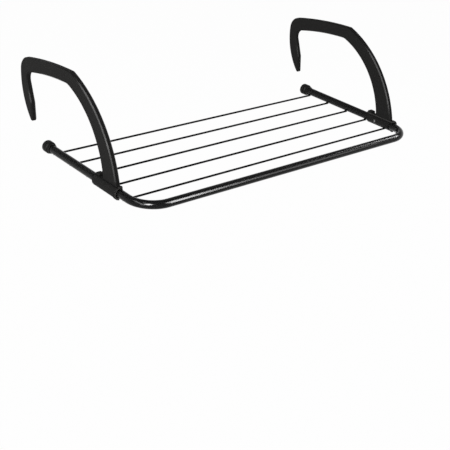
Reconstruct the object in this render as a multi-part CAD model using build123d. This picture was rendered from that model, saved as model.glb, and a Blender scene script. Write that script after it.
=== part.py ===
"""Hook-over drying rack: a bent tube frame with drying wires and two hook arms.

X runs along the wires, Y points back towards the rail and Z points up. The
pieces are drawn about the middle of the front bar's axis and then moved so that
the origin lies on the rail's top, midway between the two hooks.
"""
import os

from build123d import *

# Driving dimensions, in millimetres

# Bent tube frame
TUBE_SPACING = 520.0        # between the axes of the two side tubes
TUBE_DIAMETER = 12.2
TUBE_WALL = 1.0
BEND_RADIUS = 38.0          # on the tube's axis
SIDE_LENGTH = 238.0         # front bar's axis to the open ends of the side tubes

# Drying wires, welded to the underside of the side tubes
WIRE_DIAMETER = 3.0
WIRE_COUNT = 5
WIRE_FIRST = 50.5           # front bar's axis to the first wire
WIRE_GAP = 0.6              # last wire to the end caps' collars
WELD_DEPTH = 0.4            # how far a wire's end is saddled into the tube

# End caps that bear on the rail's face
CAP_DIAMETER = 18.2
CAP_LENGTH = 13.0
CAP_RIM = 2.6               # rounding of the cap's two rims
CAP_GROOVE_WIDTH = 1.4
CAP_GROOVE_DEPTH = 0.9
CAP_GROOVE_PLACE = 4.4      # groove's middle from the cap's front shoulder
COLLAR_DIAMETER = 14.4
COLLAR_LENGTH = 4.0
SPIGOT_LENGTH = 16.0

# Sleeves of the hook arms, and what runs in them
SLEEVE_LENGTH = 56.0
SLEEVE_WALL = 1.5
SLEEVE_RING = 4.0           # end rings that keep the bush in the sleeve
RING_GAP = 0.9              # radial gap between an end ring and the tube
BUSH_WALL = 1.6
SCREW_DIAMETER = 4.0
SCREW_FROM_BACK = 21.5      # set screw's axis from the sleeve's back end
SCREW_SLOT_WIDTH = 0.8
SCREW_SLOT_DEPTH = 0.6
RIM_LENGTH = 4.5            # thicker rim round the sleeve's front end
RIM_HEIGHT = 0.8
LUG_LENGTH = 9.0            # raised lug at the back of the sleeve
LUG_HEIGHT = 3.2
LUG_SETBACK = 2.0           # lug to the sleeve's back end

# Hook arms: s runs back from the sleeve's front face, w up from the tube's axis
ARM_THICKNESS = 8.0
ARM_BEVEL = 1.5
BLADE_SETBACK = 3.0         # sleeve's front face to the foot of the blade
BLADE_FOOT = 33.0           # length of the blade's foot along the sleeve
BLADE_FRONT_BOW = 24.2      # bow of the blade's front edge, foot to elbow
BLADE_BACK_BOW = 22.5
ELBOW_BACK = 119.4          # s of the elbow's outer corner
ELBOW_STEP = 9.8            # elbow's outer corner back to its inner one
ARM_HEIGHT = 135.5          # w of the elbow's outer corner
BAR_DEPTH = 20.2            # depth of the top bar
BAR_CROWN = 3.5             # crown of the top bar's upper edge
BAR_ARCH = 3.4              # arch of the top bar's underside
HOOK_REACH = 257.5          # s of the hook's back
HOOK_FALL = 17.4            # how far the top bar falls from the elbow to the hook
HOOK_DROP = 114.0           # elbow's outer corner down to the finger's tip
FINGER_WIDTH = 11.0
FINGER_KINK = 80.5          # elbow's outer corner down to the kink inside the finger
FINGER_SWELL = 26.3         # hook's back to the kink inside the finger
FINGER_TAPER = 29.5         # hook's back to the finger's tip
FINGER_BOW = 13.6           # bow of the finger's back edge
HOOK_CORNER = 22.0          # outer corner radius at the hook's back
HOOK_INNER_CORNER = 13.0
ELBOW_INNER_CORNER = 20.0
TIP_RADIUS = 3.0

# Where the arms stand on the side tubes in the photograph
LEFT_SLEEVE_FRONT = 57.0
RIGHT_SLEEVE_FRONT = 36.0

# Rail that the rack hangs on, between the caps and the hooks' fingers
RAIL_THICKNESS = 12.0

# Clearances
RUNNING_FIT = 0.05          # radial, between tube, bush and sleeve
END_PLAY = 0.3              # bush between the sleeve's end rings
WIRE_CLEARANCE = 0.5        # sleeve and bush to the wires
SEAT_FIT = 0.03             # fixed pieces that are pushed or welded together

# Sizes that follow from them
TUBE_R = TUBE_DIAMETER / 2
TUBE_BORE_R = TUBE_R - TUBE_WALL
TUBE_X = TUBE_SPACING / 2
WIRE_R = WIRE_DIAMETER / 2
WIRE_Z = -(TUBE_R + WIRE_R - WELD_DEPTH)
WIRE_TOP = WIRE_Z + WIRE_R
WIRE_LAST = SIDE_LENGTH - COLLAR_LENGTH - WIRE_GAP - WIRE_R
WIRE_PITCH = (WIRE_LAST - WIRE_FIRST) / (WIRE_COUNT - 1)
BUSH_BORE_R = TUBE_R + RUNNING_FIT
BUSH_R = BUSH_BORE_R + BUSH_WALL
SLEEVE_BORE_R = BUSH_R + RUNNING_FIT
SLEEVE_R = SLEEVE_BORE_R + SLEEVE_WALL
RING_BORE_R = TUBE_R + RING_GAP
SLOT_TOP = WIRE_TOP + WIRE_CLEARANCE
SLOT_SIDE = -WIRE_CLEARANCE - WELD_DEPTH
FAR = 4 * SLEEVE_R          # a cutter's reach, past every surface it cuts
CAP_BACK = SIDE_LENGTH + CAP_LENGTH
SEAT_Y = CAP_BACK + RAIL_THICKNESS / 2
ELBOW_INSIDE = (ELBOW_BACK + ELBOW_STEP, ARM_HEIGHT - BAR_DEPTH)
HOOK_INSIDE = (HOOK_REACH - FINGER_WIDTH, ARM_HEIGHT - HOOK_FALL - BAR_DEPTH)


def along_y(y: float) -> Plane:
    """A plane square to the side tubes at y, facing back."""
    return Plane(origin=(0, y, 0), x_dir=(1, 0, 0), z_dir=(0, 1, 0))


def rod(radius: float, start: float, end: float) -> Part:
    """A round bar along Y."""
    return extrude(along_y(start) * Circle(radius), amount=end - start)


def block(x: tuple, y: tuple, z: tuple) -> Part:
    """A box from its low and high values on each axis."""
    size = [high - low for low, high in (x, y, z)]
    middle = [(low + high) / 2 for low, high in (x, y, z)]
    return Pos(*middle) * Box(*size)


def vertex_near(shape, point: tuple):
    """The corner of a flat shape that lies nearest to a point."""
    return shape.vertices().sort_by_distance(Vector(*point, 0))[0]


def frame_tube() -> Part:
    """The U-shaped frame: one hollow tube with two bends."""
    corners = [
        (-TUBE_X, SIDE_LENGTH, 0),
        (-TUBE_X, 0, 0),
        (TUBE_X, 0, 0),
        (TUBE_X, SIDE_LENGTH, 0),
    ]
    path = FilletPolyline(*corners, radius=BEND_RADIUS)
    section = Circle(TUBE_R) - Circle(TUBE_BORE_R)
    start = Plane(origin=corners[0], x_dir=(1, 0, 0), z_dir=(0, -1, 0))
    return sweep(start * section, path=path)


def drying_wire(y: float) -> Part:
    """A straight wire whose two ends are saddled to the side tubes."""
    start = Plane(origin=(-TUBE_X, y, WIRE_Z), x_dir=(0, 1, 0), z_dir=(1, 0, 0))
    wire = extrude(start * Circle(WIRE_R), amount=TUBE_SPACING)
    saddle = rod(TUBE_R + SEAT_FIT, y - WIRE_DIAMETER, y + WIRE_DIAMETER)
    return wire - Pos(-TUBE_X, 0, 0) * saddle - Pos(TUBE_X, 0, 0) * saddle


def end_cap() -> Part:
    """A turned cap: knob, ring groove, collar round the tube and spigot in it."""
    knob = rod(CAP_DIAMETER / 2, SIDE_LENGTH, CAP_BACK)
    knob = fillet(knob.edges().filter_by(GeomType.CIRCLE), CAP_RIM)
    groove_start = SIDE_LENGTH + CAP_GROOVE_PLACE - CAP_GROOVE_WIDTH / 2
    groove_end = groove_start + CAP_GROOVE_WIDTH
    groove = rod(CAP_DIAMETER, groove_start, groove_end)
    groove -= rod(CAP_DIAMETER / 2 - CAP_GROOVE_DEPTH, groove_start, groove_end)
    collar = rod(COLLAR_DIAMETER / 2, SIDE_LENGTH - COLLAR_LENGTH, SIDE_LENGTH)
    collar -= rod(TUBE_R + SEAT_FIT, SIDE_LENGTH - COLLAR_LENGTH, SIDE_LENGTH)
    spigot = rod(TUBE_BORE_R - SEAT_FIT, SIDE_LENGTH - SPIGOT_LENGTH, SIDE_LENGTH)
    return knob - groove + collar + spigot


def bowed(start: tuple, end: tuple, bow: float):
    """An arc from start to end that stands off its chord's left side by bow."""
    chord = Vector(*end) - Vector(*start)
    middle = (Vector(*start) + Vector(*end)) / 2
    return ThreePointArc(start, middle + Vector(-chord.Y, chord.X).normalized() * bow, end)


def bar_underside():
    """The arched underside of the top bar, from the hook to the elbow, in s and w."""
    return bowed(HOOK_INSIDE, ELBOW_INSIDE, -BAR_ARCH)


def arm_outline() -> Sketch:
    """The hook arm's side view, in s and w."""
    foot_front = (BLADE_SETBACK, 0)
    foot_back = (BLADE_SETBACK + BLADE_FOOT, 0)
    elbow = (ELBOW_BACK, ARM_HEIGHT)
    hook_top = (HOOK_REACH, ARM_HEIGHT - HOOK_FALL)
    kink = (HOOK_REACH - FINGER_SWELL, ARM_HEIGHT - FINGER_KINK)
    tip = (HOOK_REACH - FINGER_TAPER, ARM_HEIGHT - HOOK_DROP)
    outline = [
        bowed(foot_front, elbow, BLADE_FRONT_BOW),
        bowed(elbow, hook_top, BAR_CROWN),
        bowed(hook_top, tip, FINGER_BOW),
        Line(tip, kink),
        Line(kink, HOOK_INSIDE),
        bar_underside(),
        bowed(ELBOW_INSIDE, foot_back, -BLADE_BACK_BOW),
        Line(foot_back, foot_front),
    ]
    face = make_face(outline)
    corners = [
        (hook_top, HOOK_CORNER),
        (HOOK_INSIDE, HOOK_INNER_CORNER),
        (ELBOW_INSIDE, ELBOW_INNER_CORNER),
        (tip, TIP_RADIUS),
    ]
    for corner, radius in corners:
        face = fillet(vertex_near(face, corner), radius)
    return face


def wire_slot(top: float) -> Part:
    """The room for the wires at the tube's underside, open below and inwards."""
    return block((SLOT_SIDE, FAR), (-FAR, SLEEVE_LENGTH + FAR), (-FAR, top))


def hook_arm() -> Part:
    """The left arm: blade, top bar, finger and sleeve in one moulding.

    X points to the rack's middle, and the tube's axis is the Y axis. The sleeve
    is open on its inner side, level with the blade's inner face, so that it
    passes the wires while it slides along the tube and while it folds inwards.
    """
    blade = extrude(Plane.YZ * arm_outline(), amount=ARM_THICKNESS / 2, both=True)
    blade = chamfer(blade.faces().filter_by(Axis.X).edges(), ARM_BEVEL)
    sleeve = rod(SLEEVE_R, 0, SLEEVE_LENGTH)
    rim = rod(SLEEVE_R + RIM_HEIGHT, 0, RIM_LENGTH)
    rim = fillet(rim.edges().filter_by(GeomType.CIRCLE), RIM_HEIGHT)
    lug = block(
        (-ARM_THICKNESS / 2, ARM_THICKNESS / 2),
        (SLEEVE_LENGTH - LUG_SETBACK - LUG_LENGTH, SLEEVE_LENGTH - LUG_SETBACK),
        (0, SLEEVE_R + LUG_HEIGHT),
    )
    lug = fillet(lug.faces().sort_by(Axis.Z)[-1].edges(), LUG_HEIGHT / 2)
    bush_room = rod(SLEEVE_BORE_R, SLEEVE_RING, SLEEVE_LENGTH - SLEEVE_RING)
    tube_room = rod(RING_BORE_R, -SLEEVE_LENGTH, 2 * SLEEVE_LENGTH)
    inner_side = block((ARM_THICKNESS / 2, FAR), (-FAR, SLEEVE_LENGTH + FAR), (-FAR, FAR))
    moulding = blade + sleeve + rim + lug
    return moulding - bush_room - tube_room - inner_side - wire_slot(0)


def sleeve_bush() -> Part:
    """The left arm's split bush, which slides on the tube and carries the arm."""
    start = SLEEVE_RING + END_PLAY
    end = SLEEVE_LENGTH - SLEEVE_RING - END_PLAY
    bush = rod(BUSH_R, start, end) - rod(BUSH_BORE_R, start, end)
    return bush - wire_slot(SLOT_TOP) - screw_blank(BUSH_R)


def screw_blank(reach: float) -> Part:
    """A round bar on the left set screw's axis, from the tube's surface to a reach."""
    start = Plane(
        origin=(BUSH_BORE_R, SLEEVE_LENGTH - SCREW_FROM_BACK, 0),
        x_dir=(0, 1, 0),
        z_dir=(1, 0, 0),
    )
    return extrude(start * Circle(SCREW_DIAMETER / 2), amount=reach - BUSH_BORE_R)


def set_screw() -> Part:
    """The left bush's slotted set screw, sunk below the bush's round face."""
    screw_r = SCREW_DIAMETER / 2
    sunk = BUSH_R - (BUSH_R**2 - screw_r**2) ** 0.5
    head = BUSH_R - sunk - RUNNING_FIT
    middle = SLEEVE_LENGTH - SCREW_FROM_BACK
    slot = block(
        (head - SCREW_SLOT_DEPTH, head + SCREW_DIAMETER),
        (middle - SCREW_DIAMETER, middle + SCREW_DIAMETER),
        (-SCREW_SLOT_WIDTH / 2, SCREW_SLOT_WIDTH / 2),
    )
    return screw_blank(head) - slot


def seat_height() -> float:
    """Height of the left hook's underside over the middle of the rail."""
    underside = bar_underside()
    middle = underside.arc_center
    place = SEAT_Y - LEFT_SLEEVE_FRONT
    return middle.Y + (underside.radius**2 - (place - middle.X) ** 2) ** 0.5


def build() -> dict:
    """Every piece by its node's name, in the rack's own frame."""
    pieces = {"frame_tube": frame_tube()}
    for index in range(WIRE_COUNT):
        pieces[f"drying_wire_{index + 1}"] = drying_wire(WIRE_FIRST + index * WIRE_PITCH)
    cap = end_cap()
    pieces["left_end_cap"] = Pos(-TUBE_X, 0, 0) * cap
    pieces["right_end_cap"] = Pos(TUBE_X, 0, 0) * cap
    moving = {"arm": hook_arm(), "sleeve_bush": sleeve_bush(), "set_screw": set_screw()}
    for name, piece in moving.items():
        pieces[f"left_{name}"] = Pos(-TUBE_X, LEFT_SLEEVE_FRONT, 0) * piece
        mirrored = mirror(piece, about=Plane.YZ)
        pieces[f"right_{name}"] = Pos(TUBE_X, RIGHT_SLEEVE_FRONT, 0) * mirrored
    to_rail = Pos(0, -SEAT_Y, -seat_height())
    return {name: to_rail * piece for name, piece in pieces.items()}


def main() -> None:
    """Write one STEP file for each piece."""
    os.makedirs("parts", exist_ok=True)
    for name, piece in build().items():
        piece.label = name
        export_step(piece, f"parts/{name}.step")
    print("rail seat above the tube's axis:", round(seat_height(), 3))


if __name__ == "__main__":
    main()
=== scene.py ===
"""Looks of the hook-over drying rack: its finishes, fine details, studio and camera.

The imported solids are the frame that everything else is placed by. Sizes are in
millimetres where a name ends in _mm, and otherwise in the frame's metres.
"""

import logging
import math
from abc import ABC, abstractmethod
from dataclasses import dataclass
from enum import Enum
from typing import Any, Mapping

import bpy
from mathutils import Matrix, Vector


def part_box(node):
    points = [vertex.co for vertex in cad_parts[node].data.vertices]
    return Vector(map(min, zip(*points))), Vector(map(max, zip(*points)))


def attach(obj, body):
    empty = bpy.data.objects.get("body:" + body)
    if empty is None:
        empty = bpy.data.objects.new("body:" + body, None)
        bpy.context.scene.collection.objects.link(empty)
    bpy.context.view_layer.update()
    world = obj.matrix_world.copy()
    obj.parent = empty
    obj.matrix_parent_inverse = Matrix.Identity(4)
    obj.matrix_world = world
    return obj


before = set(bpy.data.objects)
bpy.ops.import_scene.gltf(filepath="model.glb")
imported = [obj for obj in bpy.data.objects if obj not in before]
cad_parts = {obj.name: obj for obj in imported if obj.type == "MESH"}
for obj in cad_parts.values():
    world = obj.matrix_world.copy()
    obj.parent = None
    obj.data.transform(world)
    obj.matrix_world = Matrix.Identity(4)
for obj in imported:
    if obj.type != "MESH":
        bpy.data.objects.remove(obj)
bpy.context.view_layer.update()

LOG = logging.getLogger("drying_rack")
MM = 0.001
IMAGE_SIDE = 450                # pixels along each side of the picture
SENSOR_MM = 36.0

Colour = tuple[float, float, float, float]
Triple = tuple[float, float, float]
Span = tuple[float, float]      # a low and a high value


def grey(level: float, warmth: float = 0.0) -> Colour:
    """A linear grey, with a little more red and less blue as warmth grows."""
    return (level * (1 + warmth), level, level * (1 - warmth), 1.0)


def posed(place: Triple, right: Vector, up: Vector, back: Vector) -> Matrix:
    """The matrix of a lamp or camera at a place, from its own three directions."""
    return Matrix.Translation(place) @ Matrix((right, up, back)).transposed().to_4x4()


class Side(Enum):
    """The two arms, by the sign of X on their side of the rack."""

    LEFT = -1
    RIGHT = 1

    @property
    def word(self) -> str:
        """The word that the side's nodes and bodies start with."""
        return self.name.lower()


class Slot(Enum):
    """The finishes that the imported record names."""

    TUBE = "tube_paint"
    WIRE = "wire_paint"
    CAP = "cap_plastic"
    ARM = "arm_plastic"
    BUSH = "bush_plastic"
    SCREW = "screw_steel"


class Term:
    """An output socket that takes part in Python sums, differences and products."""

    def __init__(self, graph: "NodeGraph", socket: bpy.types.NodeSocket) -> None:
        """Keep the socket and the graph that its Math nodes go into."""
        self.graph = graph
        self.socket = socket

    def __add__(self, other: "Term | float") -> "Term":
        """This value plus another."""
        return self.graph.math("ADD", self, other)

    def __radd__(self, other: float) -> "Term":
        """A number plus this value."""
        return self.graph.math("ADD", other, self)

    def __sub__(self, other: "Term | float") -> "Term":
        """This value less another."""
        return self.graph.math("SUBTRACT", self, other)

    def __rsub__(self, other: float) -> "Term":
        """A number less this value."""
        return self.graph.math("SUBTRACT", other, self)

    def __mul__(self, other: "Term | float") -> "Term":
        """This value times another."""
        return self.graph.math("MULTIPLY", self, other)

    def __rmul__(self, other: float) -> "Term":
        """A number times this value."""
        return self.graph.math("MULTIPLY", other, self)

    def __abs__(self) -> "Term":
        """This value without its sign."""
        return self.graph.math("ABSOLUTE", self, 0.0)


class NodeGraph:
    """Fills one node tree, a node at a time."""

    def __init__(self, tree: bpy.types.NodeTree) -> None:
        """Start from an empty tree."""
        self.tree = tree
        tree.nodes.clear()

    @staticmethod
    def _socket(sockets: Any, key: str | int) -> bpy.types.NodeSocket:
        """A socket by its index, identifier or name."""
        if isinstance(key, int):
            return sockets[key]
        found = [s for s in sockets if s.identifier == key] or [s for s in sockets if s.name == key]
        return found[0]

    def node(
        self,
        kind: str,
        settings: Mapping[str, Any] | None = None,
        inputs: Mapping[str | int, Any] | None = None,
    ) -> bpy.types.Node:
        """Add a node.

        Args:
            kind: the node's type.
            settings: its properties, set first.
            inputs: numbers, colours or Terms for its sockets, by name, identifier or index.

        Returns:
            The new node.
        """
        node = self.tree.nodes.new(kind)
        for name, value in (settings or {}).items():
            setattr(node, name, value)
        for key, value in (inputs or {}).items():
            socket = self._socket(node.inputs, key)
            if isinstance(value, Term):
                self.tree.links.new(value.socket, socket)
            else:
                socket.default_value = value
        return node

    def term(self, node: bpy.types.Node, key: str | int = 0) -> Term:
        """One output of a node as a Term."""
        return Term(self, self._socket(node.outputs, key))

    def math(self, operation: str, first: Term | float, second: Term | float) -> Term:
        """The result of a Math node on two values."""
        made = self.node("ShaderNodeMath", {"operation": operation}, {0: first, 1: second})
        return self.term(made)


class ShaderGraph(NodeGraph):
    """The node tree of a material or of the world."""

    def place(self) -> Term:
        """The point on the piece, in the frame's metres."""
        return self.term(self.node("ShaderNodeTexCoord"), "Object")

    def heading(self) -> Term:
        """The direction that is looked along, in the world's graph."""
        return self.term(self.node("ShaderNodeTexCoord"), "Generated")

    def split(self, vector: Term) -> tuple[Term, Term, Term]:
        """A vector's X, Y and Z as three values."""
        made = self.node("ShaderNodeSeparateXYZ", inputs={0: vector})
        return self.term(made, 0), self.term(made, 1), self.term(made, 2)

    def axes(self) -> tuple[Term, Term, Term]:
        """The point's X, Y and Z as three values."""
        return self.split(self.place())

    def facing(self) -> tuple[Term, Term, Term]:
        """The surface's own direction on the piece, as three values from -1 to 1."""
        return self.split(self.term(self.node("ShaderNodeTexCoord"), "Normal"))

    def stretched(self, stretch: Triple) -> Term:
        """The point, with each axis stretched by a factor."""
        mapped = self.node("ShaderNodeMapping", inputs={"Vector": self.place(), "Scale": stretch})
        return self.term(mapped)

    def noise(self, grain_mm: float, detail: float, at: Term | None = None) -> Term:
        """Smooth noise from 0 to 1.

        Args:
            grain_mm: size of one blob.
            detail: octaves of finer noise on top.
            at: the point to read it at, if not the plain one.

        Returns:
            The noise.
        """
        inputs = {"Vector": at or self.place(), "Scale": 1 / (grain_mm * MM), "Detail": detail}
        return self.term(self.node("ShaderNodeTexNoise", inputs=inputs), "Fac")

    def pits(self, grain_mm: float) -> Term:
        """Rounded cells, 0 in their middles and near 1 at their edges."""
        settings = {"feature": "SMOOTH_F1"}
        inputs = {"Vector": self.place(), "Scale": 1 / (grain_mm * MM), "Smoothness": 0.6}
        return self.term(self.node("ShaderNodeTexVoronoi", settings, inputs), "Distance")

    def ramp(self, value: Term, low: float, high: float) -> Term:
        """0 below low, 1 above high, and smooth between."""
        settings = {"interpolation_type": "SMOOTHSTEP"}
        inputs = {"Value": value, "From Min": low, "From Max": high}
        return self.term(self.node("ShaderNodeMapRange", settings, inputs), "Result")

    def ramp_mm(self, value: Term, low_mm: float, high_mm: float) -> Term:
        """The same for a value in metres, between two places in millimetres."""
        return self.ramp(value, low_mm * MM, high_mm * MM)

    def blend(self, share: Term | float, first: Any, second: Any) -> Term:
        """A colour between two, by a share from 0 to 1."""
        inputs = {"Factor_Float": share, "A_Color": first, "B_Color": second}
        mixed = self.node("ShaderNodeMix", {"data_type": "RGBA"}, inputs)
        return self.term(mixed, "Result_Color")

    def bump(self, height: Term, height_mm: float) -> Term:
        """A normal bent by a height that runs from 0 to 1 over height_mm."""
        inputs = {"Height": height, "Distance": height_mm * MM}
        return self.term(self.node("ShaderNodeBump", inputs=inputs))

    def principled(self, inputs: Mapping[str, Any]) -> None:
        """End a material in one principled surface."""
        shader = self.node("ShaderNodeBsdfPrincipled", inputs=inputs)
        self.node("ShaderNodeOutputMaterial", inputs={"Surface": self.term(shader)})


class GeometryGraph(NodeGraph):
    """A geometry node tree with named inputs."""

    def __init__(self, name: str) -> None:
        """Start an empty tree that gives one geometry."""
        super().__init__(bpy.data.node_groups.new(name, "GeometryNodeTree"))
        self.tree.interface.new_socket("Geometry", in_out="OUTPUT", socket_type="NodeSocketGeometry")
        self.entry = self.node("NodeGroupInput")
        self.identifiers: dict[str, str] = {}

    def value(self, name: str, kind: str) -> Term:
        """Add a named input.

        Args:
            name: the input's name.
            kind: its type, such as "Float", "Int", "Vector" or "Material".

        Returns:
            The input as a Term.
        """
        made = self.tree.interface.new_socket(name, in_out="INPUT", socket_type=f"NodeSocket{kind}")
        self.identifiers[name] = made.identifier
        return self.term(self.entry, made.identifier)

    def close(self, shape: Term, material: Term) -> None:
        """End the tree in one shape with one material."""
        painted = self.node("GeometryNodeSetMaterial", inputs={"Geometry": shape, "Material": material})
        self.node("NodeGroupOutput", inputs={"Geometry": self.term(painted)})

    def piece(self, name: str, values: Mapping[str, Any]) -> bpy.types.Object:
        """Run the tree once and keep the result as a plain mesh.

        Args:
            name: the new piece's name.
            values: a value for each named input.

        Returns:
            The piece, at the origin.
        """
        carrier = bpy.data.objects.new(f"{name}_carrier", bpy.data.meshes.new(f"{name}_carrier"))
        bpy.context.scene.collection.objects.link(carrier)
        modifier = carrier.modifiers.new("tree", "NODES")
        modifier.node_group = self.tree
        for key, given in values.items():
            modifier[self.identifiers[key]] = given
        graph = bpy.context.evaluated_depsgraph_get()
        mesh = bpy.data.meshes.new_from_object(carrier.evaluated_get(graph))
        mesh.name = name
        carrier.modifiers.remove(modifier)
        bpy.data.objects.remove(carrier)
        made = bpy.data.objects.new(name, mesh)
        bpy.context.scene.collection.objects.link(made)
        return made


@dataclass(frozen=True)
class Finish(ABC):
    """A surface finish that can be put on any piece."""

    slot: Slot

    @abstractmethod
    def surface(self, graph: ShaderGraph) -> None:
        """Fill a material's graph."""

    def material(self) -> bpy.types.Material:
        """The finish's material, made on first use."""
        name = f"rack_{self.slot.value}"
        found = bpy.data.materials.get(name)
        if found:
            return found
        made = bpy.data.materials.new(name)
        made.use_nodes = True
        self.surface(ShaderGraph(made.node_tree))
        return made

    def put_on(self, piece: bpy.types.Object) -> None:
        """Make this the only material of a piece."""
        if not piece.data.materials:
            piece.data.materials.append(None)
        for index in range(len(piece.data.materials)):
            piece.data.materials[index] = self.material()


@dataclass(frozen=True)
class BlackPaint(Finish):
    """Stoved paint on steel: a fine orange peel under a soft gloss."""

    shade: float = 0.004
    roughness: float = 0.15
    specular: float = 0.12
    cloud_mm: float = 24.0                 # patches of slightly uneven paint
    cloud_shades: Span = (0.8, 1.25)       # their darkest and lightest, as shares of the shade
    cloud_roughness: float = 0.04          # how much rougher the lightest are than the darkest
    speck_mm: float = 0.5                  # dust under the paint
    speck_span: Span = (0.66, 0.74)        # of the noise that it is taken from
    speck_shade: float = 4.0               # as a share of the shade
    speck_cover: float = 0.25
    speck_roughness: float = 0.1
    peel_mm: float = 2.2
    peel_height_mm: float = 0.0006

    def surface(self, graph: ShaderGraph) -> None:
        """Fill the material's graph."""
        cloud = graph.noise(self.cloud_mm, detail=3.0)
        speck = graph.ramp(graph.noise(self.speck_mm, detail=1.0), *self.speck_span)
        dark, light = (grey(self.shade * share) for share in self.cloud_shades)
        colour = graph.blend(cloud, dark, light)
        colour = graph.blend(speck * self.speck_cover, colour, grey(self.shade * self.speck_shade))
        peel = graph.noise(self.peel_mm, detail=1.5)
        clouded = self.roughness - self.cloud_roughness / 2 + self.cloud_roughness * cloud
        graph.principled(
            {
                "Base Color": colour,
                "Roughness": clouded + self.speck_roughness * speck,
                "Specular IOR Level": self.specular,
                "Normal": graph.bump(peel, self.peel_height_mm),
            }
        )


@dataclass(frozen=True)
class MouldedPlastic(Finish):
    """Moulded plastic with the fine pitted texture of an eroded mould."""

    shade: float = 0.0075
    warmth: float = 0.04
    roughness: float = 0.7
    polished_roughness: float = 0.2
    # grey of the painted highlights on the sleeves' rims and edges
    highlight_grey: float = 0.055
    specular: float = 0.1
    flow_mm: float = 38.0                  # patches left by the melt's flow
    flow_shades: Span = (0.85, 1.15)       # their darkest and lightest, as shares of the shade
    flow_roughness: float = 0.12           # how much rougher the lightest are than the darkest
    grain_mm: float = 0.55
    grain_height_mm: float = 0.03
    pit_span: Span = (0.35, 0.75)          # of the grain, from its tops to its pits
    # the pits are darker: painted shade in the grain's hollows
    pit_shade: float = 0.5                 # as a share of the shade
    pit_cover: float = 0.3
    # grey of the painted shade in creases
    painted_shade_share: float = 0.1               # as a share of the shade

    def polish(self, graph: ShaderGraph) -> Term | float:
        """1 where the mould was polished, and 0 where it was textured."""
        return 0.0

    def painted_highlight(self, graph: ShaderGraph) -> Term | float:
        """How much painted highlight a point gets, from 0 to 1."""
        return 0.0

    def painted_shade(self, graph: ShaderGraph) -> Term | float:
        """How much painted shade darkens a point, from 0 to 1."""
        return 0.0

    def surface(self, graph: ShaderGraph) -> None:
        """Fill the material's graph."""
        flow = graph.noise(self.flow_mm, detail=4.0)
        grain = graph.pits(self.grain_mm)
        polish = self.polish(graph)
        dark, light = (grey(self.shade * share, self.warmth) for share in self.flow_shades)
        colour = graph.blend(flow, dark, light)
        # painted shade in the grain's pits
        pits = graph.ramp(grain, *self.pit_span) * self.pit_cover
        colour = graph.blend(pits, colour, grey(self.shade * self.pit_shade))
        # painted highlight, where the piece has one
        colour = graph.blend(self.painted_highlight(graph), colour, grey(self.highlight_grey, self.warmth))
        # painted shade, where the piece has one
        colour = graph.blend(self.painted_shade(graph), colour, grey(self.shade * self.painted_shade_share))
        textured = self.roughness - self.flow_roughness / 2 + self.flow_roughness * flow
        graph.principled(
            {
                "Base Color": colour,
                "Roughness": textured - polish * (textured - self.polished_roughness),
                "Specular IOR Level": self.specular,
                "Normal": graph.bump((1 - grain) * (1 - polish), self.grain_height_mm),
            }
        )


@dataclass(frozen=True)
class ArmPlastic(MouldedPlastic):
    """The arms' plastic, textured on its faces and polished on the blades' bevels."""

    bevel_lean: Span = (0.5, 0.62)         # a bevel faces sideways by more than this share,
    face_lean: Span = (0.8, 0.92)          # and by less than this, where the faces start
    bevel_foot_mm: Span = (-96.0, -92.0)   # heights above the sleeve between which the polish starts
    finger_behind_mm: Span = (-5.0, 5.0)   # what lies further behind is the hook's finger,
    finger_root_mm: Span = (-43.0, -33.0)  # which is polished below these heights only
    sleeve_top_mm: float = -98.5
    sleeve_fade_mm: float = 0.6
    rim_lean: Span = (0.9, 0.97)           # the sleeve's rim faces ahead by more than this share
    flat_side_mm: float = 256.3            # from the rack's middle to the sleeve's flat inner side
    flat_fade_mm: float = 0.3
    flat_edge_mm: float = -99.9            # height of that side's upper edge
    edge_half_mm: Span = (0.35, 0.75)      # from the edge to the end of the painted highlight line on it
    patch_mm: float = 6.0
    patch_least: float = 0.6               # how much of the painted highlight is left where it is weakest
    crease_side_mm: float = 264.0          # from the rack's middle to the blade's outer face
    crease_inside_mm: Span = (-0.4, -0.1)  # the painted shade's two sides, from that face
    crease_outside_mm: Span = (0.5, 1.0)
    crease_rise_mm: float = 0.5            # crease above the flat side's upper edge
    crease_half_mm: Span = (0.5, 1.1)      # from the crease to the painted shade's end, up and down

    def polish(self, graph: ShaderGraph) -> Term | float:
        """1 on the bevels, which lean half sideways, and 0 elsewhere."""
        sideways = abs(graph.facing()[0])
        _, behind, height = graph.axes()
        bevel = graph.ramp(sideways, *self.bevel_lean) * (1 - graph.ramp(sideways, *self.face_lean))
        above_sleeve = graph.ramp_mm(height, *self.bevel_foot_mm)
        finger = graph.ramp_mm(behind, *self.finger_behind_mm)
        root = graph.ramp_mm(height, *self.finger_root_mm)
        return bevel * above_sleeve * (1 - finger * root)

    def painted_highlight(self, graph: ShaderGraph) -> Term | float:
        """Painted highlight, in patches, on the sleeve's front rim and on the upper edge of its flat side.
        """
        across, _, height = graph.axes()
        ahead = graph.facing()[1]
        top, flat = self.sleeve_top_mm, self.flat_side_mm
        low = 1 - graph.ramp_mm(height, top - self.sleeve_fade_mm, top)
        rim = graph.ramp(0.0 - ahead, *self.rim_lean) * low
        from_edge = abs(height - self.flat_edge_mm * MM)
        inner = 1 - graph.ramp_mm(abs(across), flat, flat + self.flat_fade_mm)
        edge = inner * (1 - graph.ramp_mm(from_edge, *self.edge_half_mm))
        patchy = self.patch_least + (1 - self.patch_least) * graph.noise(self.patch_mm, detail=2.0)
        return graph.math("MAXIMUM", rim, edge) * patchy

    def painted_shade(self, graph: ShaderGraph) -> Term | float:
        """Painted shade in the crease where the blade's outer face runs into the sleeve."""
        across, _, height = graph.axes()
        from_face = abs(across) - self.crease_side_mm * MM
        from_crease = abs(height - (self.flat_edge_mm + self.crease_rise_mm) * MM)
        on_face = graph.ramp_mm(from_face, *self.crease_inside_mm)
        near = 1 - graph.ramp_mm(from_face, *self.crease_outside_mm)
        return on_face * near * (1 - graph.ramp_mm(from_crease, *self.crease_half_mm))


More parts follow.
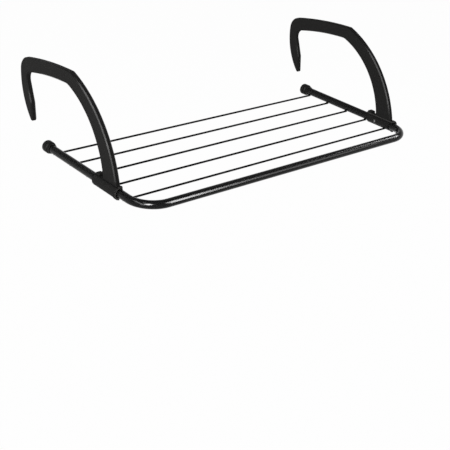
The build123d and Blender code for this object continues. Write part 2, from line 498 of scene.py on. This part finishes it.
@dataclass(frozen=True)
class PlatedSteel(Finish):
    """Zinc plate with fine turning marks."""

    shade: float = 0.3
    roughness: float = 0.42
    mark_mm: float = 1.2
    mark_stretch: Triple = (1.0, 0.15, 6.0)
    mark_shade: float = 0.8                # as a share of the shade
    mark_roughness: float = 0.16           # how much rougher the light marks are than the dark ones
    mark_height_mm: float = 0.01

    def surface(self, graph: ShaderGraph) -> None:
        """Fill the material's graph."""
        marks = graph.noise(self.mark_mm, detail=3.0, at=graph.stretched(self.mark_stretch))
        graph.principled(
            {
                "Base Color": graph.blend(marks, grey(self.shade * self.mark_shade), grey(self.shade)),
                "Roughness": self.roughness - self.mark_roughness / 2 + self.mark_roughness * marks,
                "Metallic": 1.0,
                "Normal": graph.bump(marks, self.mark_height_mm),
            }
        )


class Finishes(Enum):
    """Every finish on the rack."""

    TUBE = BlackPaint(Slot.TUBE)
    WIRE = BlackPaint(Slot.WIRE, roughness=0.32, specular=0.06)
    CAP = MouldedPlastic(Slot.CAP, shade=0.009, roughness=0.45, grain_height_mm=0.015)
    ARM = ArmPlastic(Slot.ARM)
    BUSH = MouldedPlastic(Slot.BUSH, shade=0.008, roughness=0.4, grain_height_mm=0.005)
    SCREW = PlatedSteel(Slot.SCREW)


class WeldTree(GeometryGraph):
    """A row of small weld beads, each a little different from the next."""

    LEAST: Triple = (0.9, 0.88, 0.94)      # a bead's size, as shares of the given one
    MOST: Triple = (1.06, 1.06, 1.0)

    def __init__(self) -> None:
        """Lay the tree."""
        super().__init__("weld_bead_row")
        count, seed = self.value("Count", "Int"), self.value("Seed", "Int")
        first, step = self.value("First", "Vector"), self.value("Step", "Vector")
        size = self.value("Half Size", "Vector")
        ripple, grain = self.value("Ripple", "Float"), self.value("Ripple Scale", "Float")
        material = self.value("Material", "Material")
        row = self.node(
            "GeometryNodeMeshLine",
            {"mode": "OFFSET"},
            {"Count": count, "Start Location": first, "Offset": step},
        )
        bead = self.node("GeometryNodeMeshIcoSphere", inputs={"Radius": 1.0, "Subdivisions": 4})
        spread = self.node(
            "FunctionNodeRandomValue",
            {"data_type": "FLOAT_VECTOR"},
            {"Min": self.LEAST, "Max": self.MOST, "Seed": seed},
        )
        scale = self.node(
            "ShaderNodeVectorMath", {"operation": "MULTIPLY"}, {0: size, 1: self.term(spread)}
        )
        beads = self.node(
            "GeometryNodeInstanceOnPoints",
            inputs={"Points": self.term(row), "Instance": self.term(bead), "Scale": self.term(scale)},
        )
        real = self.node("GeometryNodeRealizeInstances", inputs={"Geometry": self.term(beads)})
        wave = self.node("ShaderNodeTexNoise", inputs={"Scale": grain, "Detail": 1.0})
        outward = self.term(self.node("GeometryNodeInputNormal"))
        depth = ripple * self.term(wave, "Fac")
        inward = self.node(
            "ShaderNodeVectorMath", {"operation": "SCALE"}, {0: outward, "Scale": 0.0 - depth}
        )
        rippled = self.node(
            "GeometryNodeSetPosition", inputs={"Geometry": self.term(real), "Offset": self.term(inward)}
        )
        smooth = self.node("GeometryNodeSetShadeSmooth", inputs={"Geometry": self.term(rippled)})
        self.close(self.term(smooth), material)


@dataclass
class TubeFrame:
    """The bent tube with its wires and end caps."""

    body: str = "frame"
    bead_half_mm: Triple = (2.3, 2.35, 0.62)
    bead_inset_mm: float = 2.5      # bead's middle from the side tube's axis, towards the rack's middle
    bead_rise_mm: float = 1.2       # bead's middle above the wire's axis
    bead_seed: int = 7
    ripple_mm: float = 0.22
    ripple_grain_mm: float = 1.4

    def beads(self, side: Side, tree: WeldTree) -> None:
        """Add the welds between one side tube and the wires, as one piece.

        Args:
            side: which side tube.
            tree: the row of beads.
        """
        wires = sorted(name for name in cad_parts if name.startswith("drying_wire"))
        middles = [(Vector(low) + Vector(high)) / 2 for low, high in map(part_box, wires)]
        low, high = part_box(f"{side.word}_end_cap")
        first, last = middles[0], middles[-1]
        inset = Vector((-side.value * self.bead_inset_mm, 0.0, self.bead_rise_mm)) * MM
        start = Vector(((low[0] + high[0]) / 2, first.y, first.z)) + inset
        values = {
            "Count": len(wires),
            "Seed": self.bead_seed + side.value,
            "First": start,
            "Step": (last - first) / (len(wires) - 1),
            "Half Size": Vector(self.bead_half_mm) * MM,
            "Ripple": self.ripple_mm * MM,
            "Ripple Scale": 1 / (self.ripple_grain_mm * MM),
            "Material": Finishes.WIRE.value.material(),
        }
        made = tree.piece(f"{side.word}_weld_beads", values)
        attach(made, self.body)

    def dress(self) -> None:
        """Put finishes on the solids of the frame, and add the welds."""
        for name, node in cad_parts.items():
            if name == "frame_tube":
                Finishes.TUBE.value.put_on(node)
            elif name.startswith("drying_wire"):
                Finishes.WIRE.value.put_on(node)
            elif name.endswith("end_cap"):
                Finishes.CAP.value.put_on(node)
        tree = WeldTree()
        for side in Side:
            self.beads(side, tree)


@dataclass
class HookArm:
    """One hook arm with its bush and set screw."""

    side: Side

    def dress(self) -> None:
        """Put finishes on the solids of the arm."""
        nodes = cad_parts
        Finishes.ARM.value.put_on(nodes[f"{self.side.word}_arm"])
        Finishes.BUSH.value.put_on(nodes[f"{self.side.word}_sleeve_bush"])
        Finishes.SCREW.value.put_on(nodes[f"{self.side.word}_set_screw"])


class Reach(Enum):
    """What a lamp lights."""

    TUBE = "glossy reflections on the tube alone"
    GLOSS = "glossy reflections on everything"
    MATT = "the plain colour of everything"


def tube_alone() -> bpy.types.Collection:
    """The collection with nothing but the tube, made on first use."""
    name = "tube_alone"
    found = bpy.data.collections.get(name)
    if found:
        return found
    made = bpy.data.collections.new(name)
    made.objects.link(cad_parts["frame_tube"])
    return made


@dataclass(frozen=True)
class SoftBox:
    """A rectangular studio lamp that faces a point."""

    name: str
    place: Triple
    aim: Triple
    width: float
    height: float
    radiance: float
    reach: Reach
    rise: Triple = (0.0, 0.0, 1.0)         # what its height runs along

    def make(self) -> None:
        """Add the lamp to the scene."""
        light = bpy.data.lights.new(self.name, "AREA")
        light.shape = "RECTANGLE"
        light.size = self.width
        light.size_y = self.height
        light.energy = self.radiance * math.pi * self.width * self.height
        lamp = bpy.data.objects.new(self.name, light)
        back = (Vector(self.place) - Vector(self.aim)).normalized()
        across = Vector(self.rise).cross(back).normalized()
        lamp.matrix_world = posed(self.place, across, back.cross(across), back)
        lamp.visible_diffuse = self.reach is Reach.MATT
        lamp.visible_glossy = self.reach is not Reach.MATT
        if self.reach is Reach.TUBE:
            lamp.light_linking.receiver_collection = tube_alone()
        bpy.context.scene.collection.objects.link(lamp)


BAR_LEFT = (-0.2, -0.26, -0.11)
BAR_MIDDLE = (0.0, -0.26, -0.11)
BAR_RIGHT = (0.22, -0.26, -0.1)
LEFT_ARM_LOW = (-0.26, -0.18, -0.06)
LEFT_ARM_HIGH = (-0.26, -0.13, 0.0)
RIGHT_ARM = (0.26, -0.18, -0.03)
RACK_FRONT = (0.0, -0.15, -0.05)
RACK_MIDDLE = (0.0, -0.1, -0.05)
LAMPS = (
    # the streak on the left third of the front bar, its soft start on the bend and its fainter rest
    SoftBox("right_strip", (1.42, -2.48, 0.98), BAR_LEFT, 0.3, 2.0, 75.0, Reach.TUBE, (0.0, 0.44, 0.9)),
    SoftBox("right_soft", (0.95, -2.5, 1.5), BAR_LEFT, 0.5, 1.1, 46.0, Reach.TUBE, (0.0, 0.6, 0.8)),
    SoftBox("right_wide", (1.95, -2.38, 0.85), BAR_MIDDLE, 0.8, 1.5, 5.5, Reach.TUBE, (0.0, 0.41, 0.91)),
    # the glint before the right bend
    SoftBox("high_strip", (2.54, -0.86, 1.71), BAR_RIGHT, 0.26, 1.4, 70.0, Reach.TUBE, (-0.05, 0.93, 0.37)),
    # the glint on the left bend
    SoftBox("front_box", (-2.15, -2.08, 1.25), BAR_LEFT, 0.8, 1.6, 100.0, Reach.TUBE, (0.66, -0.13, 0.74)),
    # the outer bevel of the left blade, low and high, and of its finger
    SoftBox("left_low", (-2.26, -1.2, 0.3), LEFT_ARM_LOW, 0.55, 1.2, 11.0, Reach.GLOSS),
    SoftBox("left_high", (-2.26, -0.35, 1.37), LEFT_ARM_HIGH, 0.4, 2.3, 19.0, Reach.GLOSS, (0.0, 0.7, 0.72)),
    # the inner bevel of the right blade
    SoftBox("camera_strip", (-1.74, -1.6, 1.4), RIGHT_ARM, 0.4, 2.8, 17.0, Reach.GLOSS, (0.0, 0.59, 0.8)),
    # plain fill from all sides
    SoftBox("left_fill", (-2.4, -1.0, 1.0), RACK_FRONT, 1.4, 1.6, 10.0, Reach.MATT),
    SoftBox("front_fill", (0.9, -2.6, 1.3), RACK_FRONT, 1.4, 1.0, 4.0, Reach.MATT),
    SoftBox("right_fill", (2.7, 0.3, 0.9), RACK_MIDDLE, 1.4, 1.4, 6.0, Reach.MATT),
    SoftBox("back_fill", (-0.4, 2.7, 1.2), RACK_MIDDLE, 1.4, 1.4, 6.0, Reach.MATT),
)


@dataclass
class Studio:
    """Floor, world, lamps and camera."""

    floor_drop: float = 0.9         # rail's top to the floor
    floor_half: float = 12.0
    floor_shade: float = 0.55       # how pale it is for the light that it throws back
    floor_white: float = 0.98       # share of the floor's own white in what is seen
    ambient: float = 0.15
    ceiling: float = 0.35           # what reflections show overhead, against white at the walls
    ceiling_rise: Span = (0.12, 0.42)    # sines of the elevations at which it starts and is complete
    camera_place: Triple = (-0.9183, -1.1765, 0.4527)
    azimuth: float = 40.97          # degrees, from looking along +Y towards +X
    elevation: float = 27.05
    roll: float = 4.02
    focal_pixels: float = 966.8

    def rays(self, graph: ShaderGraph) -> tuple[Term, Term]:
        """1 or 0 for a ray from the camera, and for one that a surface mirrors or lets through."""
        path = graph.node("ShaderNodeLightPath")
        names = ("Is Camera Ray", "Is Glossy Ray", "Is Transmission Ray")
        camera, glossy, through = (graph.term(path, name) for name in names)
        return camera, graph.math("MINIMUM", glossy + through, 1.0)

    def world(self) -> None:
        """White where it is seen, a greyer ceiling in reflections, and a plain soft light elsewhere."""
        made = bpy.data.worlds.new("studio_white")
        made.use_nodes = True
        graph = ShaderGraph(made.node_tree)
        _, _, up = graph.split(graph.heading())
        wall = 1.0 - (1.0 - self.ceiling) * graph.ramp(up, *self.ceiling_rise)
        camera, mirrored = self.rays(graph)
        strength = self.ambient + (1.0 - self.ambient) * camera + (wall - self.ambient) * mirrored
        sky = graph.node("ShaderNodeBackground", inputs={"Color": grey(1.0), "Strength": strength})
        graph.node("ShaderNodeOutputWorld", inputs={"Surface": graph.term(sky)})
        bpy.context.scene.world = made

    def floor(self) -> None:
        """A wide pale floor that keeps the rack's shadow."""
        half, level = self.floor_half, -self.floor_drop
        corners = [(-half, -half, level), (half, -half, level), (half, half, level), (-half, half, level)]
        mesh = bpy.data.meshes.new("studio_floor")
        mesh.from_pydata(corners, [], [(0, 1, 2, 3)])
        material = bpy.data.materials.new("studio_floor")
        material.use_nodes = True
        graph = ShaderGraph(material.node_tree)
        matt = graph.node("ShaderNodeBsdfDiffuse", inputs={"Color": grey(self.floor_shade)})
        white = graph.node("ShaderNodeEmission", inputs={"Color": grey(1.0), "Strength": 1.0})
        camera, mirrored = self.rays(graph)
        share = self.floor_white * (camera + mirrored)
        mixed = graph.node(
            "ShaderNodeMixShader", inputs={0: share, 1: graph.term(matt), 2: graph.term(white)}
        )
        graph.node("ShaderNodeOutputMaterial", inputs={"Surface": graph.term(mixed)})
        mesh.materials.append(material)
        floor = bpy.data.objects.new("studio_floor", mesh)
        bpy.context.scene.collection.objects.link(floor)

    def lamps(self) -> None:
        """The soft boxes for the photograph's highlights and for the plain fill."""
        for box in LAMPS:
            box.make()

    def camera(self) -> None:
        """The camera, from its place, aim and focal length in pixels."""
        turn, tilt, lean = (math.radians(a) for a in (self.azimuth, self.elevation, self.roll))
        ahead = Vector((math.sin(turn) * math.cos(tilt), math.cos(turn) * math.cos(tilt), -math.sin(tilt)))
        level = Vector((math.cos(turn), -math.sin(turn), 0.0))
        upright = level.cross(ahead)
        right = level * math.cos(lean) + upright * math.sin(lean)
        up = right.cross(ahead)
        lens = bpy.data.cameras.new("photo_camera")
        lens.sensor_width = SENSOR_MM
        lens.lens = self.focal_pixels * SENSOR_MM / IMAGE_SIDE
        camera = bpy.data.objects.new("photo_camera", lens)
        camera.matrix_world = posed(self.camera_place, right, up, -ahead)
        bpy.context.scene.collection.objects.link(camera)
        bpy.context.scene.camera = camera

    def make(self) -> None:
        """Set up the whole studio."""
        bpy.context.scene.view_settings.view_transform = "Standard"
        self.world()
        self.floor()
        self.lamps()
        self.camera()


def main() -> None:
    """Dress the rack and set up the studio."""
    logging.basicConfig(level=logging.INFO, format="%(name)s: %(message)s")
    TubeFrame().dress()
    for side in Side:
        HookArm(side).dress()
    Studio().make()


if __name__ == "__main__":
    main()
